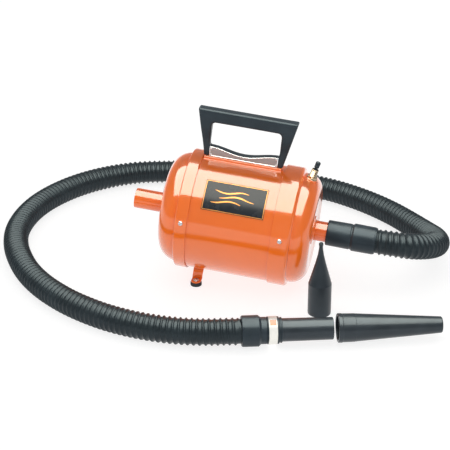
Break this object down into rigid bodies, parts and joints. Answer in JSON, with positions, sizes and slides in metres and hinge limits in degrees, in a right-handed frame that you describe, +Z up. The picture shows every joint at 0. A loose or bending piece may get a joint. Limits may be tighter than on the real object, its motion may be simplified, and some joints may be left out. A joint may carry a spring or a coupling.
{
  "type": "pet dryer",
  "caption": "Portable canister pet dryer: orange steel blower body with carrying handle, toggle switch, looped corrugated hose, straight wand and rubber nozzles.",
  "frame": {"origin": "on the floor, below the middle of the box round the body and the spare nozzle, the hose line left out", "axes": "+Z up; X runs level below the body, +X towards the outlet and the hose; -Y is the front, with the name plate"},
  "size_m": [0.7435, 0.6372, 0.2833],
  "materials": {
    "enamel": "high-gloss orange enamel",
    "bright_steel": "bright zinc-plated steel",
    "satin_trim": "satin aluminium with a bright edge",
    "moulded_black": "semi-gloss moulded black plastic",
    "plate_black": "black lacquered plate with a thin gold border",
    "band_white": "blank white band",
    "hose_black": "ribbed black vinyl with a soft shine",
    "nozzle_rubber": "smooth black moulded rubber",
    "soft_rubber": "matt black rubber",
    "switch_brass": "worn brass",
    "zinc_sheet": "zinc-coated sheet steel",
    "cast_alloy": "die-cast and pressed aluminium",
    "lamination": "stacked steel laminations",
    "copper_wire": "enamelled copper wire and copper bars",
    "carbon": "pressed carbon"
  },
  "bodies": {
    "canister": {"shell": "enamel", "left_end_cap": "enamel", "right_end_cap": "enamel", "cap_screws": "bright_steel", "inlet_tube": "enamel", "intake_screen": "bright_steel", "outlet_tube": "enamel", "outlet_collar": "enamel", "name_plate": "plate_black", "handle_saddle": "enamel", "handle": "moulded_black", "handle_trim_front": "satin_trim", "handle_trim_rear": "satin_trim", "trim_rivets": "bright_steel", "handle_bolts": "bright_steel", "foot_bracket": "enamel", "bracket_rivets": "bright_steel", "foot_pads": "soft_rubber", "foot_screws": "bright_steel", "switch_body": "moulded_black", "switch_bushing": "switch_brass", "switch_nut": "switch_brass", "cord_grommet": "soft_rubber", "motor_plate": "zinc_sheet", "mount_gasket": "soft_rubber", "fan_housing": "zinc_sheet", "housing_screws": "bright_steel", "diffuser": "zinc_sheet", "front_bell": "cast_alloy", "stator_core": "lamination", "field_coils": "copper_wire", "rear_bell": "cast_alloy", "bearing_front": "bright_steel", "bearing_rear": "bright_steel", "brush_holders": "switch_brass", "brushes": "carbon", "brush_springs": "bright_steel", "rear_mount_ring": "soft_rubber", "motor_spider": "zinc_sheet", "outlet_cuff": "moulded_black", "hose": "hose_black", "wand_cuff": "moulded_black"},
    "lever": {"switch_lever": "moulded_black"},
    "rotor": {"shaft": "bright_steel", "armature_core": "lamination", "armature_windings": "copper_wire", "commutator": "copper_wire", "fan_first": "cast_alloy", "fan_second": "cast_alloy", "fan_spacers": "bright_steel", "shaft_nut": "bright_steel"},
    "wand_end": {"wand_collar": "moulded_black", "label_band": "band_white", "wand": "moulded_black"},
    "nozzle": {"taper_nozzle": "nozzle_rubber"},
    "spare": {"cone_nozzle": "nozzle_rubber"}
  },
  "joints": [
    {"name": "switch_toggle", "type": "hinge", "parent": "canister", "child": "lever", "pos_m": [0.11986, 0.011, 0.18872], "axis": [0.9379, 0, -0.3469], "range_deg": [0, 24]},
    {"name": "rotor_spin", "type": "hinge", "parent": "canister", "child": "rotor", "pos_m": [0, 0.011, 0.10384], "axis": [0.994, 0, -0.1097], "continuous": true},
    {"name": "wand_swivel", "type": "hinge", "parent": "canister", "child": "wand_end", "pos_m": [0.10476, -0.19776, 0.0233], "axis": [0.9627, 0.2706, -0.007], "continuous": true},
    {"name": "nozzle_slide", "type": "slide", "parent": "wand_end", "child": "nozzle", "axis": [0.9627, 0.2706, -0.007], "range_m": [-0.03, 0.05]},
    {"name": "nozzle_lift", "type": "slide", "parent": "canister", "child": "spare", "axis": [0, 0, 1], "range_m": [0, 0.12]}
  ]
}
